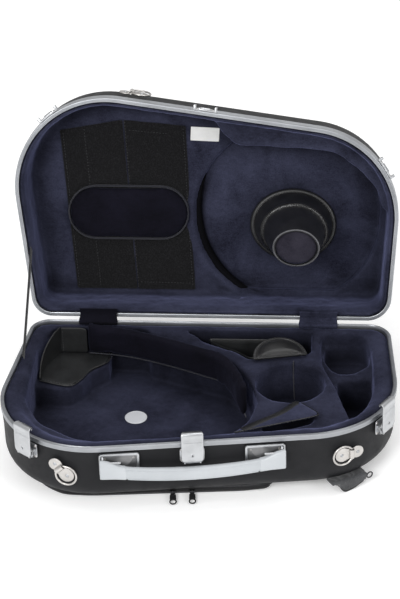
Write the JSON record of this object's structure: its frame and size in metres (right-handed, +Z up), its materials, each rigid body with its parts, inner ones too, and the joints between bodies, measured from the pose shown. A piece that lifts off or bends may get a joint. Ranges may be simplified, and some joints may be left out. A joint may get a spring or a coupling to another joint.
{
  "type": "horn case",
  "caption": "Open hard-shell case for a horn with a detachable bell: hinged plush-lined halves with metal rims, bell cone, latches, handle and outer pocket.",
  "frame": {"origin": "bottom centre of the whole open case, on the surface it stands on", "axes": "+X to the right along the hinge line, +Y to the rear, +Z up"},
  "size_m": [0.6226, 0.5786, 0.476],
  "materials": {
    "shell": "fine leather grain, satin",
    "rim": "satin, drawn grooves along its length",
    "hardware": "satin nickel, lightly worn",
    "plush": "short navy plush pile with nap marks",
    "loop": "near-black brushed loop pile",
    "leather": "fine black pebble grain, semi-gloss",
    "grip": "light grey, satin",
    "pocket": "dark grey woven polyester with piping",
    "webbing": "black woven webbing",
    "label": "plain white woven label, blank"
  },
  "bodies": {
    "base": {"base_badge": "hardware", "base_liner": "plush", "base_rim": "rim", "base_shell": "shell", "corner_guard": "leather", "divider_pad": "plush", "handle_bracket_left": "hardware", "handle_bracket_right": "hardware", "hinge_cover_left": "plush", "hinge_cover_right": "plush", "hinge_left_base_leaf": "hardware", "hinge_right_base_leaf": "hardware", "latch_centre_bracket": "hardware", "latch_centre_pin": "hardware", "latch_left_bracket": "hardware", "latch_left_pin": "hardware", "latch_right_bracket": "hardware", "latch_right_pin": "hardware", "outer_pocket": "pocket", "stay_strap": "webbing", "strap_plate_left": "hardware", "strap_plate_right": "hardware", "strap_pouch": "pocket", "zip_track": "webbing"},
    "lid": {"catch_centre": "hardware", "catch_left": "hardware", "catch_right": "hardware", "cone_cap": "plush", "cone_flange": "leather", "cone_nose": "leather", "cone_skirt": "leather", "hinge_left_lid_leaf": "hardware", "hinge_right_lid_leaf": "hardware", "lid_label": "label", "lid_liner": "plush", "lid_rim": "rim", "lid_shell": "shell", "loop_panel_left": "loop", "loop_panel_right": "loop", "oval_pad": "plush", "strap_plate_lid": "hardware"},
    "handle": {"handle_grip": "grip", "handle_end_left": "rim", "handle_end_right": "rim"},
    "pocket_flap": {"pocket_flap": "leather"},
    "retaining_flap": {"retaining_flap": "leather"},
    "pouch_pull": {"pouch_pull": "hardware"},
    "latch_left": {"latch_left_lever": "hardware"},
    "latch_centre": {"latch_centre_lever": "hardware"},
    "latch_right": {"latch_right_lever": "hardware"},
    "strap_ring_left": {"strap_ring_left": "hardware"},
    "strap_ring_right": {"strap_ring_right": "hardware"},
    "strap_ring_lid": {"strap_ring_lid": "hardware"},
    "zip_slider_left": {"zip_slider_left": "hardware"},
    "zip_pull_left": {"zip_pull_left": "webbing"},
    "zip_slider_right": {"zip_slider_right": "hardware"},
    "zip_pull_right": {"zip_pull_right": "webbing"}
  },
  "joints": [
    {"name": "lid_hinge", "type": "hinge", "parent": "base", "child": "lid", "pos_m": [0, 0.09405, 0.119], "axis": [1, 0, 0], "range_deg": [0, 105], "deforming": ["stay_strap", "hinge_cover_left", "hinge_cover_right"]},
    {"name": "handle_lift", "type": "hinge", "parent": "base", "child": "handle", "pos_m": [0.00056, -0.26897, 0.099], "axis": [-0.9904, -0.138, 0], "range_deg": [0, 95]},
    {"name": "latch_left_turn", "type": "hinge", "parent": "base", "child": "latch_left", "pos_m": [-0.25864, -0.25045, 0.092], "axis": [0.788, -0.6157, 0], "range_deg": [-2.5, 35]},
    {"name": "latch_centre_turn", "type": "hinge", "parent": "base", "child": "latch_centre", "pos_m": [-0.00026, -0.26303, 0.092], "axis": [0.9904, 0.138, 0], "range_deg": [-2.5, 35]},
    {"name": "latch_right_turn", "type": "hinge", "parent": "base", "child": "latch_right", "pos_m": [0.29414, -0.167, 0.092], "axis": [0.5446, 0.8387, 0], "range_deg": [-2.5, 35]},
    {"name": "strap_ring_left_swing", "type": "hinge", "parent": "base", "child": "strap_ring_left", "pos_m": [-0.20432, -0.27482, 0.07825], "axis": [-0.6909, 0.1506, -0.7071], "range_deg": [0, 100]},
    {"name": "strap_ring_right_swing", "type": "hinge", "parent": "base", "child": "strap_ring_right", "pos_m": [0.24244, -0.21355, 0.0745], "axis": [0, 0, 1], "range_deg": [0, 100]},
    {"name": "strap_ring_lid_swing", "type": "hinge", "parent": "lid", "child": "strap_ring_lid", "pos_m": [-0.12309, 0.23638, 0.4647], "axis": [0, -0.9659, 0.2588], "range_deg": [0, 100]},
    {"name": "pocket_flap_lift", "type": "hinge", "parent": "base", "child": "pocket_flap", "pos_m": [0.12463, 0.00205, 0.107], "axis": [0.9799, 0.1994, 0], "range_deg": [0, 60]},
    {"name": "retaining_flap_lift", "type": "hinge", "parent": "base", "child": "retaining_flap", "pos_m": [0.11453, -0.20315, 0.1146], "axis": [0.9317, 0.3633, 0], "range_deg": [0, 60]},
    {"name": "zip_slider_left_slide", "type": "slide", "parent": "base", "child": "zip_slider_left", "axis": [0.9962, 0.0874, 0], "range_m": [-0.055, 0.01]},
    {"name": "zip_pull_left_lift", "type": "hinge", "parent": "zip_slider_left", "child": "zip_pull_left", "pos_m": [-0.03486, -0.23467, 0.0058], "axis": [-0.9962, -0.0874, 0], "range_deg": [0, 60]},
    {"name": "zip_slider_right_slide", "type": "slide", "parent": "base", "child": "zip_slider_right", "axis": [0.9962, 0.0874, 0], "range_m": [-0.01, 0.085]},
    {"name": "zip_pull_right_lift", "type": "hinge", "parent": "zip_slider_right", "child": "zip_pull_right", "pos_m": [-0.00486, -0.23205, 0.0058], "axis": [-0.9962, -0.0874, 0], "range_deg": [0, 60]},
    {"name": "pouch_pull_swing", "type": "hinge", "parent": "base", "child": "pouch_pull", "pos_m": [0.26554, -0.186, 0.013], "axis": [0, 0, -1], "range_deg": [0, 50]}
  ]
}
